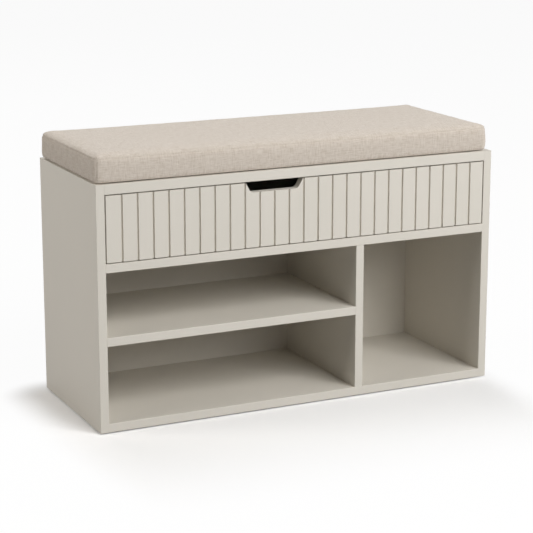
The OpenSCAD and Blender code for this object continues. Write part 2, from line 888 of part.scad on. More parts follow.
module cushion_hook_strips() { color(nylon) fastening_strips(cabinet_h); }
module cushion_loop_strips() { color(nylon) fastening_strips(cushion_z0 - strip_t); }

left_side_panel();
right_side_panel();
top_panel();
drawer_deck();
bottom_panel();
divider_panel();
shoe_shelf();
back_panel();
floor_glides();
cam_locks();
cam_bolts();
wood_dowels();
back_panel_screws();
slide_cabinet_member_left();
slide_cabinet_member_right();
cabinet_slide_screws();
cushion_hook_strips();
drawer_front();
drawer_left_side();
drawer_right_side();
drawer_back();
drawer_bottom();
drawer_bottom_rail();
drawer_cam_locks();
drawer_cam_bolts();
drawer_dowels();
drawer_back_screws();
drawer_bottom_screws();
slide_drawer_member_left();
slide_drawer_member_right();
drawer_slide_screws();
slide_middle_member_left();
slide_middle_member_right();
outer_ball_cage_left();
outer_ball_cage_right();
inner_ball_cage_left();
inner_ball_cage_right();
outer_balls_left();
outer_balls_right();
inner_balls_left();
inner_balls_right();
cushion_cover();
cushion_foam();
cushion_loop_strips();
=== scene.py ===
import json
import math

import bmesh
import bpy
from mathutils import Euler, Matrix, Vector, noise

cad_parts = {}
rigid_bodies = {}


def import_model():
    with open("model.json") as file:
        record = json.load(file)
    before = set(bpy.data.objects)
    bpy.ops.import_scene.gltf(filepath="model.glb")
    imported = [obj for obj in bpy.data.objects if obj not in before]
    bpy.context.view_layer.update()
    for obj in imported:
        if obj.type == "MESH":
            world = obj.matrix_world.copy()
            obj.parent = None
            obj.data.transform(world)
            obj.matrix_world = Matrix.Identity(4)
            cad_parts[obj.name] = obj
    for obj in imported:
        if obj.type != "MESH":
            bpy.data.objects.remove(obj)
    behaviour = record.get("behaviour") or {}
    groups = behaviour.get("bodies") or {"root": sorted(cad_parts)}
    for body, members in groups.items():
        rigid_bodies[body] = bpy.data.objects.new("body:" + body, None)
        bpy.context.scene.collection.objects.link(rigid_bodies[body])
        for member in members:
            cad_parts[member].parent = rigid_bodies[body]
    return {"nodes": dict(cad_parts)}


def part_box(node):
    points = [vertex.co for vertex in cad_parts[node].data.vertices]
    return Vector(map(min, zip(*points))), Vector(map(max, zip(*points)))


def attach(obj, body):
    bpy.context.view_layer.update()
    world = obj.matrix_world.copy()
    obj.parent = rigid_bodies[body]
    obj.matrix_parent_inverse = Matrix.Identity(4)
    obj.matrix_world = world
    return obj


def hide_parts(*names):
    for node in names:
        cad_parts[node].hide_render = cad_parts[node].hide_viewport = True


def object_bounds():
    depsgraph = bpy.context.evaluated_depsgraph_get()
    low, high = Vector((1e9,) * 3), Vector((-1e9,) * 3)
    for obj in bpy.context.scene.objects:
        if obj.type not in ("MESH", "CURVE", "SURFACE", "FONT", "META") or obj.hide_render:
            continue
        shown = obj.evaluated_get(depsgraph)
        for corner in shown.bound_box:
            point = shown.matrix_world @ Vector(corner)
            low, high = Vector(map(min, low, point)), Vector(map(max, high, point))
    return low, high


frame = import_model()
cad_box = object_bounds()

scene = bpy.context.scene
nodes = frame["nodes"]
MM = 0.001
CLOSE = 1e-5             # points nearer than this lie in one plane
WHITE = (1.0, 1.0, 1.0, 1.0)


# ---------- small tools ----------

def srgb(code):
    """A colour written as sRGB hex, as the linear RGBA that a shader takes."""
    parts = [int(code[i:i + 2], 16) / 255 for i in (1, 3, 5)]
    linear = [c / 12.92 if c <= 0.04045 else ((c + 0.055) / 1.055) ** 2.4 for c in parts]
    return (*linear, 1.0)


def per(size_mm):
    """The pattern scale at which one feature measures size_mm."""
    return 1000 / size_mm


# A Wave Texture draws 20 bands over a length of 2 pi at scale 1.
BANDS = 2 * math.pi / 20


def add(tree, kind, inputs=(), **settings):
    """Adds a shader node with its settings; an input takes a value, a socket or a node."""
    made = tree.nodes.new("ShaderNode" + kind)
    for name, value in settings.items():
        setattr(made, name, value)
    for name, value in dict(inputs).items():
        if isinstance(value, bpy.types.Node):
            value = value.outputs[0]
        if isinstance(value, bpy.types.NodeSocket):
            tree.links.new(value, made.inputs[name])
        else:
            made.inputs[name].default_value = value
    return made


def start_material(name):
    """An empty node material, its tree and the place of each point in metres."""
    material = bpy.data.materials.new(name)
    material.use_nodes = True
    material.node_tree.nodes.clear()
    place = add(material.node_tree, "TexCoord").outputs["Object"]
    return material, material.node_tree, place


# ---------- finishes ----------

PAINT = "#d8d2c8"
PAINT_SHADE = "#d1ccc1"
PAINT_PEAK_HIGHLIGHT = "#dedbd1"
HARDBOARD = "#8a6a49"
HARDBOARD_DARK = "#71543a"
FOIL = "#cfcabe"
LINEN = "#dad0c4"
LINEN_SHADE = "#d6cbbf"
LINEN_LIGHT = "#e7dfd4"
LINEN_DARK = "#bfb19f"
LINEN_GAP_SHADE = "#a3968a"


def satin_paint(name, shift):
    """Acrylic paint rolled on MDF: an even satin skin, faint orange peel, a slow change of tone."""
    material, tree, place = start_material(name)
    moved = add(tree, "Mapping", {"Vector": place, "Location": shift})
    slow = add(tree, "TexNoise", {"Vector": moved, "Scale": per(140), "Detail": 3.0,
                                  "Roughness": 0.55})
    tone = add(tree, "MixRGB", {"Fac": slow, "Color1": srgb(PAINT_SHADE), "Color2": srgb(PAINT)})
    # Roller stipple is about 1 mm across; it is drawn at 2.5 mm so that it shows across a room.
    peel = add(tree, "TexNoise", {"Vector": moved, "Scale": per(2.5), "Detail": 4.0,
                                  "Roughness": 0.6})
    # The colour is lightened where the stipple stands highest: a painted highlight on the peaks of
    # the orange peel.
    fleck = add(tree, "MapRange", {"Value": peel, "From Min": 0.35, "From Max": 0.7,
                                   "To Max": 0.10})
    skin = add(tree, "MixRGB", {"Fac": fleck, "Color1": tone, "Color2": srgb(PAINT_PEAK_HIGHLIGHT)})
    dull = add(tree, "MapRange", {"Value": slow, "To Min": 0.48, "To Max": 0.58})
    bump = add(tree, "Bump", {"Height": peel, "Strength": 0.12, "Distance": 0.2 * MM})
    shader = add(tree, "BsdfPrincipled", {"Base Color": skin, "Roughness": dull, "Normal": bump,
                                          "IOR": 1.5})
    add(tree, "OutputMaterial", {"Surface": shader})
    return material


def bare_fibre(tree, place):
    """The unpainted side of hardboard: the pattern of its pressed fibres, and their brown."""
    # Pressed fibres are 0.1 to 1 mm; they are drawn at 3 mm so that they show.
    fibre = add(tree, "TexNoise", {"Vector": place, "Scale": per(3), "Detail": 6.0,
                                   "Roughness": 0.7})
    brown = add(tree, "MixRGB", {"Fac": fibre, "Color1": srgb(HARDBOARD_DARK),
                                 "Color2": srgb(HARDBOARD)})
    return fibre, brown


def painted_hardboard(name, rear_y):
    """Hardboard painted on its room side: smooth in front, brown with a screen print behind."""
    material, tree, place = start_material(name)
    slow = add(tree, "TexNoise", {"Vector": place, "Scale": per(120), "Detail": 3.0})
    front = add(tree, "MixRGB", {"Fac": slow, "Color1": srgb(PAINT_SHADE), "Color2": srgb(PAINT)})
    _, brown = bare_fibre(tree, place)
    axes = add(tree, "SeparateXYZ", {"Vector": place})
    behind = add(tree, "Math", {0: axes.outputs["Y"], 1: rear_y}, operation="GREATER_THAN")
    colour = add(tree, "MixRGB", {"Fac": behind, "Color1": front, "Color2": brown})
    # The wire screen of the press leaves a square print at about 1.5 mm, drawn at 3 mm.
    wires = [add(tree, "TexWave", {"Vector": place, "Scale": per(3) * BANDS, "Distortion": 0.3},
                 bands_direction=way).outputs["Fac"] for way in ("X", "Z")]
    screen = add(tree, "Math", {0: wires[0], 1: wires[1]}, operation="MULTIPLY")
    height = add(tree, "Math", {0: screen, 1: behind}, operation="MULTIPLY")
    bump = add(tree, "Bump", {"Height": height, "Strength": 0.5, "Distance": 0.3 * MM})
    rough = add(tree, "MapRange", {"Value": behind, "To Min": 0.48, "To Max": 0.78})
    shader = add(tree, "BsdfPrincipled", {"Base Color": colour, "Roughness": rough, "Normal": bump,
                                          "IOR": 1.5})
    add(tree, "OutputMaterial", {"Surface": shader})
    return material


def drawer_bottom_board(name, top_z):
    """Thin hardboard with a painted face up and bare brown fibre below."""
    material, tree, place = start_material(name)
    slow = add(tree, "TexNoise", {"Vector": place, "Scale": per(90), "Detail": 3.0})
    face = add(tree, "MixRGB", {"Fac": slow, "Color1": srgb(PAINT_SHADE), "Color2": srgb(PAINT)})
    fibre, brown = bare_fibre(tree, place)
    axes = add(tree, "SeparateXYZ", {"Vector": place})
    up = add(tree, "Math", {0: axes.outputs["Z"], 1: top_z}, operation="GREATER_THAN")
    colour = add(tree, "MixRGB", {"Fac": up, "Color1": brown, "Color2": face})
    rough = add(tree, "MapRange", {"Value": up, "To Min": 0.8, "To Max": 0.5})
    bump = add(tree, "Bump", {"Height": fibre, "Strength": 0.25, "Distance": 0.2 * MM})
    shader = add(tree, "BsdfPrincipled", {"Base Color": colour, "Roughness": rough, "Normal": bump,
                                          "IOR": 1.5})
    add(tree, "OutputMaterial", {"Surface": shader})
    return material


def melamine_foil(name):
    """Particleboard faced with melamine foil: even colour, fine embossed grain, a little shine."""
    material, tree, place = start_material(name)
    emboss = add(tree, "TexNoise", {"Vector": place, "Scale": per(1.6), "Detail": 2.0})
    slow = add(tree, "TexNoise", {"Vector": place, "Scale": per(60), "Detail": 2.0})
    colour = add(tree, "MixRGB", {"Fac": slow, "Color1": srgb(PAINT_SHADE), "Color2": srgb(FOIL)})
    bump = add(tree, "Bump", {"Height": emboss, "Strength": 0.15, "Distance": 0.1 * MM})
    shader = add(tree, "BsdfPrincipled", {"Base Color": colour, "Roughness": 0.42, "Normal": bump,
                                          "IOR": 1.5})
    add(tree, "OutputMaterial", {"Surface": shader})
    return material


def beech_wood(name):
    """Beech dowel: pale pink-brown wood with short dark ray flecks along the grain."""
    material, tree, place = start_material(name)
    along = add(tree, "Mapping", {"Vector": place, "Scale": (1.0, 6.0, 6.0)})
    fleck = add(tree, "TexNoise", {"Vector": along, "Scale": per(4), "Detail": 4.0})
    colour = add(tree, "MixRGB", {"Fac": fleck, "Color1": srgb("#b98f66"),
                                  "Color2": srgb("#dcbc93")})
    bump = add(tree, "Bump", {"Height": fleck, "Strength": 0.2, "Distance": 0.1 * MM})
    shader = add(tree, "BsdfPrincipled", {"Base Color": colour, "Roughness": 0.6, "Normal": bump,
                                          "IOR": 1.5})
    add(tree, "OutputMaterial", {"Surface": shader})
    return material


def rolled_steel(name):
    """Cold-rolled strip with bright zinc plating: grey, with faint rolling lines along it."""
    material, tree, place = start_material(name)
    along = add(tree, "Mapping", {"Vector": place, "Scale": (1.0, 0.03, 1.0)})
    lines = add(tree, "TexNoise", {"Vector": along, "Scale": per(0.8), "Detail": 3.0})
    cloud = add(tree, "TexNoise", {"Vector": place, "Scale": per(25), "Detail": 3.0})
    colour = add(tree, "MixRGB", {"Fac": cloud, "Color1": srgb("#a9acb0"),
                                  "Color2": srgb("#c6c8c9")})
    dull = add(tree, "MapRange", {"Value": lines, "To Min": 0.26, "To Max": 0.42})
    bump = add(tree, "Bump", {"Height": lines, "Strength": 0.08, "Distance": 0.05 * MM})
    shader = add(tree, "BsdfPrincipled", {"Base Color": colour, "Metallic": 1.0, "Roughness": dull,
                                          "Normal": bump})
    add(tree, "OutputMaterial", {"Surface": shader})
    return material


def polished_steel(name):
    """Ground and lapped bearing balls, lightly greased: a near mirror with a thin uneven film."""
    material, tree, place = start_material(name)
    film = add(tree, "TexNoise", {"Vector": place, "Scale": per(2), "Detail": 2.0})
    dull = add(tree, "MapRange", {"Value": film, "To Min": 0.08, "To Max": 0.2})
    shader = add(tree, "BsdfPrincipled", {"Base Color": srgb("#c9cbcd"), "Metallic": 1.0,
                                          "Roughness": dull})
    add(tree, "OutputMaterial", {"Surface": shader})
    return material


def tumbled_zinc(name):
    """Zinc castings and plated screws, tumbled smooth: soft grey metal with small dull patches."""
    material, tree, place = start_material(name)
    patch = add(tree, "TexNoise", {"Vector": place, "Scale": per(1.5), "Detail": 4.0})
    colour = add(tree, "MixRGB", {"Fac": patch, "Color1": srgb("#9c9d9c"),
                                  "Color2": srgb("#c3c4c4")})
    dull = add(tree, "MapRange", {"Value": patch, "To Min": 0.3, "To Max": 0.5})
    bump = add(tree, "Bump", {"Height": patch, "Strength": 0.1, "Distance": 0.05 * MM})
    shader = add(tree, "BsdfPrincipled", {"Base Color": colour, "Metallic": 1.0, "Roughness": dull,
                                          "Normal": bump})
    add(tree, "OutputMaterial", {"Surface": shader})
    return material


def moulded_nylon(name):
    """Injection-moulded nylon glide: near black, waxy, with a fine spark texture from the mould."""
    material, tree, place = start_material(name)
    spark = add(tree, "TexNoise", {"Vector": place, "Scale": per(0.6), "Detail": 2.0})
    colour = add(tree, "MixRGB", {"Fac": spark, "Color1": srgb("#4b4a48"),
                                  "Color2": srgb("#575653")})
    bump = add(tree, "Bump", {"Height": spark, "Strength": 0.15, "Distance": 0.05 * MM})
    shader = add(tree, "BsdfPrincipled", {"Base Color": colour, "Roughness": 0.4, "Normal": bump,
                                          "IOR": 1.53})
    add(tree, "OutputMaterial", {"Surface": shader})
    return material


def fastening_nylon(name, pile_mm):
    """Woven black nylon tape with hooks or loops standing on it: matt, with a regular pile."""
    material, tree, place = start_material(name)
    pile = add(tree, "TexVoronoi", {"Vector": place, "Scale": per(pile_mm), "Randomness": 0.35})
    colour = add(tree, "MixRGB", {"Fac": pile.outputs["Distance"], "Color1": srgb("#5c5b58"),
                                  "Color2": srgb("#3a3a38")})
    bump = add(tree, "Bump", {"Height": pile.outputs["Distance"], "Strength": 0.8,
                              "Distance": -0.5 * MM})
    shader = add(tree, "BsdfPrincipled", {"Base Color": colour, "Roughness": 0.8, "Normal": bump,
                                          "IOR": 1.53, "Sheen Weight": 0.2})
    add(tree, "OutputMaterial", {"Surface": shader})
    return material


def cut_foam(name):
    """Cut polyurethane foam: cream, matt and full of fine open cells."""
    material, tree, place = start_material(name)
    cells = add(tree, "TexVoronoi", {"Vector": place, "Scale": per(1.2)})
    colour = add(tree, "MixRGB", {"Fac": cells.outputs["Distance"], "Color1": srgb("#f0ead8"),
                                  "Color2": srgb("#d6cdb4")})
    bump = add(tree, "Bump", {"Height": cells.outputs["Distance"], "Strength": 0.6,
                              "Distance": -0.4 * MM})
    shader = add(tree, "BsdfPrincipled", {"Base Color": colour, "Roughness": 0.95, "Normal": bump,
                                          "IOR": 1.45})
    add(tree, "OutputMaterial", {"Surface": shader})
    return material


def slub_linen(name, uv_map):
    """Plain-woven cloth of uneven yarn: pale and dark slubs run both ways over a matt weave."""
    material, tree, _ = start_material(name)
    cloth = add(tree, "UVMap", uv_map=uv_map)
    # Slubs are yarn-thick, 0.8 mm; they are drawn 2.2 mm thick and 16 mm long so that they show.
    layers = []
    for turn, start in ((0.0, 3.0), (math.pi / 2, 7.0)):
        laid = add(tree, "Mapping", {"Vector": cloth, "Location": (start, start, 0.0),
                                     "Rotation": (0.0, 0.0, turn)})
        drawn = add(tree, "Mapping", {"Vector": laid, "Scale": (per(16) / per(2.2), 1.0, 1.0)})
        layers.append(add(tree, "TexNoise", {"Vector": drawn, "Scale": per(2.2), "Detail": 2.0,
                                             "Roughness": 0.6}))
    slubs = add(tree, "Math", {0: layers[0], 1: layers[1]}, operation="ADD")
    pale = add(tree, "MapRange", {"Value": slubs, "From Min": 1.0, "From Max": 1.35, "To Max": 0.9})
    dark = add(tree, "MapRange", {"Value": slubs, "From Min": 1.0, "From Max": 0.68, "To Max": 0.8})
    worn = add(tree, "TexNoise", {"Vector": cloth, "Scale": per(45), "Detail": 3.0})
    ground = add(tree, "MixRGB", {"Fac": worn, "Color1": srgb(LINEN), "Color2": srgb(LINEN_SHADE)})
    light = add(tree, "MixRGB", {"Fac": pale, "Color1": ground, "Color2": srgb(LINEN_LIGHT)})
    shaded = add(tree, "MixRGB", {"Fac": dark, "Color1": light, "Color2": srgb(LINEN_DARK)})
    # The yarns lie 1 mm apart and pass over and under each other, each a little off its line.
    stray = add(tree, "TexNoise", {"Vector": cloth, "Scale": per(6), "Detail": 2.0})
    strayed = add(tree, "VectorMath", {0: stray.outputs["Color"], 1: (0.5 * MM, 0.5 * MM, 0.0),
                                       2: cloth}, operation="MULTIPLY_ADD")
    waves = []
    for axis in ("X", "Y"):
        along = add(tree, "SeparateXYZ", {"Vector": strayed}).outputs[axis]
        phase = add(tree, "Math", {0: along, 1: math.pi * per(1.0)}, operation="MULTIPLY")
        waves.append(add(tree, "Math", {0: phase}, operation="SINE"))
    crossing = add(tree, "Math", {0: waves[0], 1: waves[1]}, operation="MULTIPLY")
    weave = add(tree, "Math", {0: crossing}, operation="ABSOLUTE")
    warp_up = add(tree, "MapRange", {"Value": crossing, "From Min": -0.1, "From Max": 0.1,
                                     "To Max": 0.25})
    yarns = add(tree, "MixRGB", {"Fac": warp_up, "Color1": shaded, "Color2": srgb(LINEN_LIGHT)})
    # Where the weave is lowest, between the yarns, the colour is darkened: painted shade in the
    # gaps of the weave.
    gap_shade = add(tree, "MapRange", {"Value": weave, "From Max": 0.5, "To Min": 0.45, "To Max": 0.0})
    yarns_and_gap_shade = add(tree, "MixRGB", {"Fac": gap_shade, "Color1": yarns, "Color2": srgb(LINEN_GAP_SHADE)})
    height = add(tree, "Math", {0: slubs, 1: weave}, operation="ADD")
    bump = add(tree, "Bump", {"Height": height, "Strength": 0.55, "Distance": 0.35 * MM})
    # Hairy yarn scatters the light, so the soft edges aren't brighter than the flats beside them.
    shader = add(tree, "BsdfPrincipled", {
        "Base Color": yarns_and_gap_shade, "Roughness": 0.92, "Normal": bump, "IOR": 1.45,
        "Diffuse Roughness": 0.32, "Sheen Weight": 0.22, "Sheen Roughness": 0.4})
    add(tree, "OutputMaterial", {"Surface": shader})
    return material


def finish(node, material):
    """Gives a CAD node's object its finish in every slot."""
    for slot in nodes[node].material_slots:
        slot.material = material


# ---------- the cabinet and the drawer, as built ----------

painted_boards = ["left_side_panel", "right_side_panel", "top_panel", "drawer_deck", "bottom_panel",
                  "divider_panel", "shoe_shelf", "drawer_front"]
for number, board in enumerate(painted_boards):
    # Each board was painted by itself, so its pattern starts elsewhere.
    shift = (0.37 * number, 0.61 * number, 0.23 * number)
    finish(board, satin_paint("satin_paint_" + board, shift))

SKIN = 0.5 * MM          # the outer layer that has a hardboard face's own finish
back_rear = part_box("back_panel")[1].y
finish("back_panel", painted_hardboard("painted_hardboard", back_rear - SKIN))
drawer_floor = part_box("drawer_bottom")[1].z
finish("drawer_bottom", drawer_bottom_board("drawer_hardboard", drawer_floor - SKIN))

foil = melamine_foil("melamine_foil")
for board in ("drawer_left_side", "drawer_right_side", "drawer_back", "drawer_bottom_rail"):
    finish(board, foil)

beech = beech_wood("beech_wood")
steel = rolled_steel("rolled_steel")
balls = polished_steel("polished_steel")
zinc = tumbled_zinc("tumbled_zinc")
for name in nodes:
    if name.endswith("dowels"):
        finish(name, beech)
    elif "member" in name or "cage" in name:
        finish(name, steel)
    elif "balls" in name:
        finish(name, balls)
    elif name.endswith(("screws", "cam_locks", "cam_bolts")):
        finish(name, zinc)
finish("floor_glides", moulded_nylon("moulded_nylon"))
finish("cushion_hook_strips", fastening_nylon("hook_nylon", 1.5))
finish("cushion_loop_strips", fastening_nylon("loop_nylon", 0.8))
finish("cushion_foam", cut_foam("cut_foam"))

linen = slub_linen("slub_linen", "weave")


# ---------- the cushion ----------

def only(obj):
    """Makes obj the one selected and active object."""
    bpy.ops.object.select_all(action="DESELECT")
    obj.select_set(True)
    bpy.context.view_layer.objects.active = obj


def gridded_box(name, lo, hi, spacing, levels):
    """A closed box of quads with rows at the given levels and a weave map laid panel by panel."""
    bpy.ops.object.select_all(action="DESELECT")
    bpy.ops.mesh.primitive_cube_add(size=1, location=(lo + hi) / 2, scale=hi - lo)
    box = bpy.context.active_object
    box.name = name
    bpy.ops.object.transform_apply(location=True, rotation=True, scale=True)
    bpy.ops.object.mode_set(mode="EDIT")
    rows = [round((hi.x - lo.x) / spacing), round((hi.y - lo.y) / spacing), len(levels) - 1]
    for axis in range(3):
        mesh = bmesh.from_edit_mesh(box.data)
        for edge in mesh.edges:
            along = edge.verts[1].co - edge.verts[0].co
            edge.select_set(abs(along[axis]) > 0.99 * along.length)
        bmesh.update_edit_mesh(box.data)
        bpy.ops.mesh.select_mode(type="EDGE")
        bpy.ops.mesh.subdivide(number_cuts=rows[axis] - 1)
    mesh = bmesh.from_edit_mesh(box.data)
    for vertex in mesh.verts:
        vertex.co.z = levels[round((vertex.co.z - lo.z) / (hi.z - lo.z) * rows[2])]
    for layer in list(mesh.loops.layers.uv):
        mesh.loops.layers.uv.remove(layer)
    weave = mesh.loops.layers.uv.new("weave")
    for face in mesh.faces:
        face.select_set(False)
        face.smooth = True
        up, side = abs(face.normal.z), abs(face.normal.x)
        # Each of the six panels has its own place on the cloth, in metres, clear of the others.
        for loop in face.loops:
            x, y, z = loop.vert.co
            if up > 0.9:
                loop[weave].uv = (x, y + (2.0 if face.normal.z < 0 else 0.0))
            elif side > 0.9:
                loop[weave].uv = (y + 4.0 + face.normal.x, z)
            else:
                loop[weave].uv = (x + 8.0 + face.normal.y, z + 3.0)
    bmesh.update_edit_mesh(box.data)
    bpy.ops.object.mode_set(mode="OBJECT")
    return box


def group(obj, name, weights):
    """Adds a vertex group with its own weight for each vertex that has one."""
    made = obj.vertex_groups.new(name=name)
    for index, weight in weights.items():
        made.add([index], weight, "REPLACE")


def round_off(obj, lo, hi, top_edge, bottom_edge, corner):
    """Rounds a gridded box: uprights to the corner radius, top and bottom edges to theirs."""
    middle, half = (lo + hi) / 2, (hi - lo) / 2
    for vertex in obj.data.vertices:
        p = vertex.co - middle
        edge = top_edge if p.z > 0 else bottom_edge
        core = Vector([max(-half[i] + edge, min(half[i] - edge, p[i])) for i in range(3)])
        out = p - core
        if sum(abs(c) > 1e-6 for c in out) > 1:
            out = out.normalized() * edge
        p = core + out
        u = max(0, abs(p.x) - half.x + corner) / corner
        v = max(0, abs(p.y) - half.y + corner) / corner
        if u > 0 and v > 0:
            round_u, round_v = u * math.sqrt(1 - v * v / 2), v * math.sqrt(1 - u * u / 2)
            p.x = math.copysign(half.x - corner + corner * round_u, p.x)
            p.y = math.copysign(half.y - corner + corner * round_v, p.y)
        vertex.co = middle + p


def blow_up(pad, pinned, cap):
    """Fills the sewn cover: the cloth swells between its seams, and no point moves past the cap."""
    before = [v.co.copy() for v in pad.data.vertices]
    cloth = pad.modifiers.new("Filling", "CLOTH")
    cloth.settings.quality = 6
    cloth.settings.mass = 0.3
    cloth.settings.tension_stiffness = 25
    cloth.settings.compression_stiffness = 25
    cloth.settings.shear_stiffness = 10
    cloth.settings.bending_stiffness = 4
    cloth.settings.use_pressure = True
    cloth.settings.uniform_pressure_force = 4
    cloth.settings.effector_weights.gravity = 0
    cloth.settings.vertex_group_mass = pinned
    cloth.point_cache.frame_start = 1
    cloth.point_cache.frame_end = FILL_STEPS
    for step in range(1, FILL_STEPS + 1):
        scene.frame_set(step)
    only(pad)
    bpy.ops.object.modifier_apply(modifier="Filling")
    scene.frame_set(1)
    for vertex, start in zip(pad.data.vertices, before):
        moved = vertex.co - start
        if moved.length > cap:
            vertex.co = start + moved * (cap / moved.length)


def sew(pad, seam, width, depth):
    """Cuts a sewn groove: the seam is bevelled to the width and its middle is drawn in."""
    only(pad)
    bpy.ops.object.mode_set(mode="EDIT")
    bpy.ops.mesh.select_mode(type="EDGE")
    bpy.ops.mesh.select_all(action="DESELECT")
    layer_index = pad.vertex_groups[seam].index
    mesh = bmesh.from_edit_mesh(pad.data)
    weights = mesh.verts.layers.deform.active
    for edge in mesh.edges:
        if all(vert[weights].get(layer_index, 0) > 0.99 for vert in edge.verts):
            edge.select_set(True)
    bmesh.update_edit_mesh(pad.data)
    bpy.ops.mesh.bevel(offset=width / 2, segments=2, affect="EDGES")
    bpy.ops.mesh.select_mode(type="VERT")
    bpy.ops.mesh.select_less()
    bpy.ops.transform.shrink_fatten(value=-depth)
    bpy.ops.object.mode_set(mode="OBJECT")


def seam_crossings(pad, *seams):
    """The points where the first seam meets one of the others."""
    first, *others = [pad.vertex_groups[seam].index for seam in seams]
    crossings = []
    for vertex in pad.data.vertices:
        sewn = {held.group for held in vertex.groups if held.weight > 0.99}
        if first in sewn and sewn.intersection(others):
            crossings.append(vertex.co.copy())
    return crossings


def ease_folds(pad, points, reach):
    """Smooths the cover round each point, where folded cloth fills a crossing of seams."""
    only(pad)
    bpy.ops.object.mode_set(mode="EDIT")
    bpy.ops.mesh.select_mode(type="VERT")
    bpy.ops.mesh.select_all(action="DESELECT")
    mesh = bmesh.from_edit_mesh(pad.data)
    for vertex in mesh.verts:
        if any((vertex.co - point).length < reach for point in points):
            vertex.select_set(True)
    bmesh.update_edit_mesh(pad.data)
    bpy.ops.mesh.vertices_smooth(factor=0.5, repeat=8)
    bpy.ops.object.mode_set(mode="OBJECT")


def to_edge(point):
    """Distance from the pad's nearest side, inwards."""
    return min(point.x - pad_lo.x, pad_hi.x - point.x, point.y - pad_lo.y, pad_hi.y - point.y)


def ease(t):
    """Rises smoothly from 0 to 1 as t does."""
    t = max(0.0, min(1.0, t))
    return t * t * (3 - 2 * t)


GRID = 6 * MM            # cloth mesh
SEAM_DROP = 6.5 * MM     # from the top edge down to its seam
HEM_RISE = 1.5 * MM      # from the bottom edge up to its seam
TOP_EDGE = 10 * MM       # radius of the soft edge round the top
LOW_EDGE = 6 * MM        # radius of the edge round the bottom
CORNER = 9 * MM          # radius of the corners, seen from above
ZIP_REACH = 300 * MM     # half the length of the zip in the rear band
TUCK = 1.0 * MM          # the seams lie this far inside the cover's widest line
FOOT_GAP = 0.8 * MM      # from the top panel up to the rim round the bottom
TOP_ROOM = 1.5 * MM      # left for the top to rise before it is as high as the solid cover
BELLY = 0.8 * MM         # cut of the band between its seams
CROWN = 1.4 * MM         # rise of the top within its edges
CROWN_RUN = 45 * MM      # distance from the edge over which the top rises
FILL_STEPS = 20          # steps of the cloth as it fills
FILL_CAP = 1.1 * MM      # furthest that the filling moves the cloth
PUCKER = 1.2 * MM        # height of the gathers beside the seams
GATHER = 16 * MM         # spacing of the gathers, and how far they reach
RIM = 8 * MM             # width of the rim that lies close over the top panel
RIM_RUN = 14 * MM        # distance over which the bottom rises from the rim to the strips
STRIP_GAP = 0.05 * MM    # from the cover's underside on the strips up to the cloth
FOLD = 4 * MM            # reach of the folded cloth round a crossing of seams

# How firmly the thread and the foam hold the cloth while it fills; at 1 it doesn't move.
HELD_BY_SEAM = 0.9
HELD_BY_ZIP = 0.8
HELD_BY_UPRIGHT = 0.6
HELD_BY_SEAT = 1.0

# Each sewn line, the width of its groove and how deep the thread draws it in.
SEWN = (
    ("uprights", 2.6 * MM, 1.2 * MM),
    ("top_seam", 2.4 * MM, 1.6 * MM),
    ("low_seam", 1.6 * MM, 0.6 * MM),
    ("zip_line", 3.0 * MM, 1.8 * MM),
)

cover_lo, cover_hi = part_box("cushion_cover")
seat_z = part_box("top_panel")[1].z
pad_lo = Vector((cover_lo.x + TUCK, cover_lo.y + TUCK, seat_z + FOOT_GAP))
pad_hi = Vector((cover_hi.x - TUCK, cover_hi.y - TUCK, cover_hi.z - TOP_ROOM))
band_lo, band_hi = pad_lo.z + HEM_RISE, pad_hi.z - SEAM_DROP
band_rows = round((band_hi - band_lo) / GRID)
levels = [band_lo + (band_hi - band_lo) * k / band_rows for k in range(band_rows + 1)]
pad = gridded_box("cushion_pad", pad_lo, pad_hi, GRID, [pad_lo.z] + levels + [pad_hi.z])

middle = (pad_lo + pad_hi) / 2
zip_z = levels[len(levels) // 2]
groups = {name: {} for name in ("top_seam", "low_seam", "zip_line", "uprights", "pinned")}
pinned = groups["pinned"]
for vertex in pad.data.vertices:
    x, y, z = vertex.co
    on_end = min(abs(x - pad_lo.x), abs(x - pad_hi.x)) < CLOSE
    on_face = min(abs(y - pad_lo.y), abs(y - pad_hi.y)) < CLOSE
    if (on_end or on_face) and min(abs(z - band_lo), abs(z - band_hi)) < CLOSE:
        groups["top_seam" if z > middle.z else "low_seam"][vertex.index] = 1.0
        pinned[vertex.index] = HELD_BY_SEAM
    if on_end and on_face and band_lo - CLOSE < z < band_hi + CLOSE:
        groups["uprights"][vertex.index] = 1.0
        pinned.setdefault(vertex.index, HELD_BY_UPRIGHT)
    if abs(y - pad_hi.y) < CLOSE and abs(z - zip_z) < CLOSE and abs(x - middle.x) < ZIP_REACH:
        groups["zip_line"][vertex.index] = 1.0
        pinned[vertex.index] = HELD_BY_ZIP
    if abs(z - pad_lo.z) < CLOSE:
        pinned[vertex.index] = HELD_BY_SEAT
for name, weights in groups.items():
    group(pad, name, weights)

# The foam is cut with a crown and a belly before the cover swells over it.
flat = [vertex.co.copy() for vertex in pad.data.vertices]
round_off(pad, pad_lo, pad_hi, TOP_EDGE, LOW_EDGE, CORNER)
for vertex, cut in zip(pad.data.vertices, flat):
    if cut.z > band_hi + CLOSE:
        vertex.co.z += CROWN * ease(to_edge(cut) / CROWN_RUN)
    elif cut.z > pad_lo.z + CLOSE:
        swell = BELLY * math.sin(math.pi * (cut.z - band_lo) / (band_hi - band_lo))
        for axis, lo, hi in ((0, pad_lo.x, pad_hi.x), (1, pad_lo.y, pad_hi.y)):
            if min(abs(cut[axis] - lo), abs(cut[axis] - hi)) < CLOSE:
                vertex.co[axis] += math.copysign(swell, cut[axis] - middle[axis])
blow_up(pad, "pinned", FILL_CAP)

# Beside its seams the cloth is gathered a little by the thread.
for vertex, cut in zip(pad.data.vertices, flat):
    if cut.z > band_hi + CLOSE:
        from_seam = GRID + to_edge(cut)
    else:
        from_seam = min(cut.z - band_lo, band_hi - cut.z)
    if from_seam > CLOSE:
        push = PUCKER * noise.noise(cut / GATHER) * math.exp(-from_seam / GATHER)
        vertex.co += vertex.normal * push

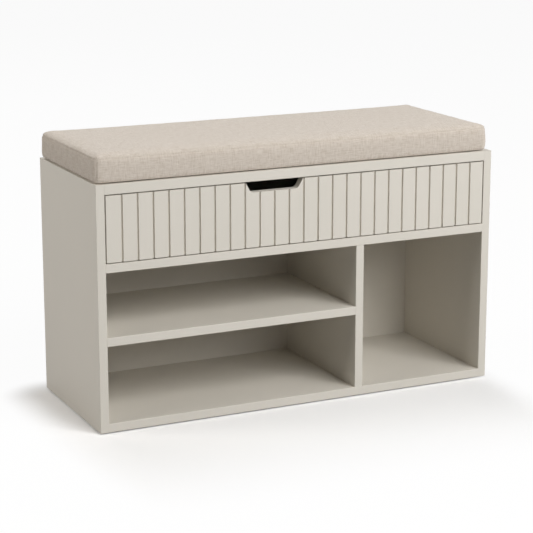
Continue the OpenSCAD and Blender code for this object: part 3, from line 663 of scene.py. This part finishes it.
# The rim of the cover lies close over the top panel, and the fastening strips hold up its middle.
for vertex in pad.data.vertices:
    lift = ease((to_edge(vertex.co) - RIM) / RIM_RUN)
    rest_z = pad_lo.z + (cover_lo.z + STRIP_GAP - pad_lo.z) * lift
    vertex.co.z = max(vertex.co.z, rest_z)

only(pad)
smooth = pad.modifiers.new("Cover", "SUBSURF")
smooth.levels = smooth.render_levels = 1
bpy.ops.object.modifier_apply(modifier="Cover")
crossings = seam_crossings(pad, "uprights", "top_seam", "low_seam")
for seam, width, depth in SEWN:
    sew(pad, seam, width, depth)
ease_folds(pad, crossings, FOLD)
pad.data.materials.append(linen)
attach(pad, "cushion")
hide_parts("cushion_cover", "cushion_foam")


# ---------- the zip's slider ----------

def bevelled_block(name, centre, size, edge):
    """A small cast block with rounded edges."""
    bpy.ops.object.select_all(action="DESELECT")
    bpy.ops.mesh.primitive_cube_add(size=1, location=centre, scale=size)
    block = bpy.context.active_object
    block.name = name
    bpy.ops.object.transform_apply(location=True, rotation=True, scale=True)
    bpy.ops.object.mode_set(mode="EDIT")
    bpy.ops.mesh.select_all(action="SELECT")
    bpy.ops.mesh.bevel(offset=edge, segments=3, affect="EDGES")
    bpy.ops.object.mode_set(mode="OBJECT")
    return block


def sink_panel(block, face_y, border, depth):
    """Sinks the flat of the block's rear face, inside a border."""
    only(block)
    bpy.ops.object.mode_set(mode="EDIT")
    bpy.ops.mesh.select_mode(type="FACE")
    bpy.ops.mesh.select_all(action="DESELECT")
    mesh = bmesh.from_edit_mesh(block.data)
    for face in mesh.faces:
        face.select_set(face.normal.y > 0.99 and abs(face.calc_center_median().y - face_y) < CLOSE)
    bmesh.update_edit_mesh(block.data)
    bpy.ops.mesh.inset(thickness=border, depth=0)
    bpy.ops.mesh.inset(thickness=depth / 2, depth=-depth)
    bpy.ops.object.mode_set(mode="OBJECT")


slider_size = Vector((9, 2.0, 6)) * MM
bridge_size = Vector((6, 1.1, 1.8)) * MM
pull_size = Vector((3.4, 0.7, 15)) * MM
BRIDGE_SINK = 0.2 * MM   # the bridge is cast in one with the slider
PULL_PROUD = 0.15 * MM   # the pull lies this far outside the bridge's middle
PULL_HOLD = 0.3 * MM     # its eye reaches this far under the bridge
TAPER = 0.3              # share by which the slider narrows to the end the closed teeth leave by
BORDER = 0.6 * MM        # left standing round the sunk flats of the slider and the pull
SUNK = 0.2 * MM          # depth of those flats
slider_x = middle.x - ZIP_REACH + slider_size.x / 2
band_face = max(vertex.co.y for vertex in pad.data.vertices
                if abs(vertex.co.x - slider_x) < slider_size.x
                and abs(vertex.co.z - zip_z) < slider_size.x)
slider_at = Vector((slider_x, band_face, zip_z))
bridge_at = slider_at + Vector((0, (slider_size.y + bridge_size.y) / 2 - BRIDGE_SINK, 0))
pull_at = bridge_at + Vector((0, PULL_PROUD, -(bridge_size.z + pull_size.z) / 2 + PULL_HOLD))

slider = bevelled_block("zip_slider", slider_at, slider_size, 0.8 * MM)
for vertex in slider.data.vertices:
    tail = ease((vertex.co.x - slider_at.x) / slider_size.x + 0.5)
    vertex.co.z = slider_at.z + (vertex.co.z - slider_at.z) * (1 - TAPER * tail)
sink_panel(slider, slider_at.y + slider_size.y / 2, BORDER, SUNK)
bridge = bevelled_block("zip_bridge", bridge_at, bridge_size, 0.4 * MM)
bridge.select_set(True)
slider.select_set(True)
bpy.context.view_layer.objects.active = slider
bpy.ops.object.join()
pull = bevelled_block("zip_pull", pull_at, pull_size, 0.25 * MM)
sink_panel(pull, pull_at.y + pull_size.y / 2, BORDER, SUNK)
for piece in (slider, pull):
    only(piece)
    bpy.ops.object.shade_smooth_by_angle(angle=math.radians(30))
    piece.data.materials.append(zinc)
    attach(piece, "cushion")


# ---------- camera, floor and light ----------

CAMERA_AT = (-1.3967, -2.9132, 1.0286)
TILT_DOWN = 13.156       # degrees below the level
TURN_RIGHT = 25.561      # degrees from straight on

lens = bpy.data.cameras.new("view")
lens.sensor_width = 36
lens.lens = 117.45
lens.shift_y = -0.04
camera = bpy.data.objects.new("camera", lens)
camera.location = CAMERA_AT
camera.rotation_euler = Euler((math.radians(90 - TILT_DOWN), 0, math.radians(-TURN_RIGHT)))
scene.collection.objects.link(camera)
scene.camera = camera


def meets_the_eye(tree):
    """1 for a ray from the eye, also by way of metal or glass, and 0 for light that bounces."""
    path = add(tree, "LightPath")
    seen = add(tree, "Math", {0: path.outputs["Is Camera Ray"], 1: path.outputs["Is Glossy Ray"]},
               operation="MAXIMUM")
    return add(tree, "Math", {0: seen, 1: path.outputs["Is Transmission Ray"]}, operation="MAXIMUM")


bpy.ops.object.select_all(action="DESELECT")
bpy.ops.mesh.primitive_plane_add(size=60, location=(0, 0, 0))
floor = bpy.context.active_object
floor.name = "floor"
material, tree, place = start_material("studio_floor")
# The shadow stays whole round the foot of the bench and thins out to white. It starts to thin
# inside the right and rear edges, and thins out four times as slowly in front.
foot_lo, foot_hi = (Vector(corner) for corner in cad_box)
left_front = (foot_lo.x, foot_lo.y, 0.0)
right_rear = (foot_hi.x - 70 * MM, foot_hi.y - 50 * MM, 0.0)
SLOWER_IN_FRONT = (1.0, 0.25, 0.0)
past_right_rear = add(tree, "VectorMath", {0: place, 1: right_rear}, operation="SUBTRACT")
past_left_front = add(tree, "VectorMath", {0: left_front, 1: place}, operation="SUBTRACT")
past_left_front = add(tree, "VectorMath", {0: past_left_front, 1: SLOWER_IN_FRONT},
                      operation="MULTIPLY")
aside = add(tree, "VectorMath", {0: past_right_rear, 1: past_left_front}, operation="MAXIMUM")
aside = add(tree, "VectorMath", {0: aside, 1: (0.0, 0.0, 0.0)}, operation="MAXIMUM")
away = add(tree, "VectorMath", {0: aside}, operation="LENGTH")
fade = add(tree, "MapRange", {"Value": away.outputs["Value"], "From Min": 20 * MM,
                              "From Max": 110 * MM, "To Max": 0.95},
           interpolation_type="SMOOTHSTEP")
lit = add(tree, "BsdfDiffuse", {"Color": WHITE})
white = add(tree, "Emission", {"Color": WHITE, "Strength": 1.0})
bounce = add(tree, "BsdfDiffuse", {"Color": srgb("#a0a0a0")})
shown = add(tree, "MixShader", {0: fade, 1: lit, 2: white})
both = add(tree, "MixShader", {0: meets_the_eye(tree), 1: bounce, 2: shown})
add(tree, "OutputMaterial", {"Surface": both})
floor.data.materials.append(material)

world = bpy.data.worlds.new("studio")
world.use_nodes = True
scene.world = world
tree = world.node_tree
tree.nodes.clear()
dim = add(tree, "Background", {"Color": WHITE, "Strength": 0.0})
bright = add(tree, "Background", {"Color": WHITE, "Strength": 1.0})
both = add(tree, "MixShader", {0: meets_the_eye(tree), 1: dim, 2: bright})
add(tree, "OutputWorld", {"Surface": both})

# Name, bearing in degrees from the front towards the right, height in degrees, size in m,
# light that falls on a surface facing the lamp, colour.
LAMPS = (
    ("key", 20, 33, 3.0, 0.855, "#ffffff"),
    ("side key", 45, 35, 3.0, 0.22, "#ffffff"),
    ("fill", -95, 31, 3.0, 0.49, "#fffbf6"),
    ("back", 180, 40, 3.0, 0.21, "#ffffff"),
)
AIM = Vector((0, 0, 0.25))   # middle of the bench
REACH = 5.0              # from there to each lamp, in m
for name, bearing, height, size, level, colour in LAMPS:
    a, e = math.radians(bearing), math.radians(height)
    way = Vector((math.sin(a) * math.cos(e), -math.cos(a) * math.cos(e), math.sin(e)))
    lamp = bpy.data.lights.new(name, "AREA")
    lamp.shape = "SQUARE"
    lamp.size = size
    lamp.color = srgb(colour)[:3]
    # A lamp of power P lights a surface that faces it at distance d with P / (pi d^2), and a
    # light of pi makes a white surface render as plain white.
    lamp.energy = level * math.pi * math.pi * REACH ** 2
    holder = bpy.data.objects.new(name, lamp)
    holder.location = AIM + way * REACH
    holder.rotation_mode = "QUATERNION"
    holder.rotation_quaternion = (-way).to_track_quat("-Z", "Y")
    scene.collection.objects.link(holder)

scene.view_settings.view_transform = "Standard"
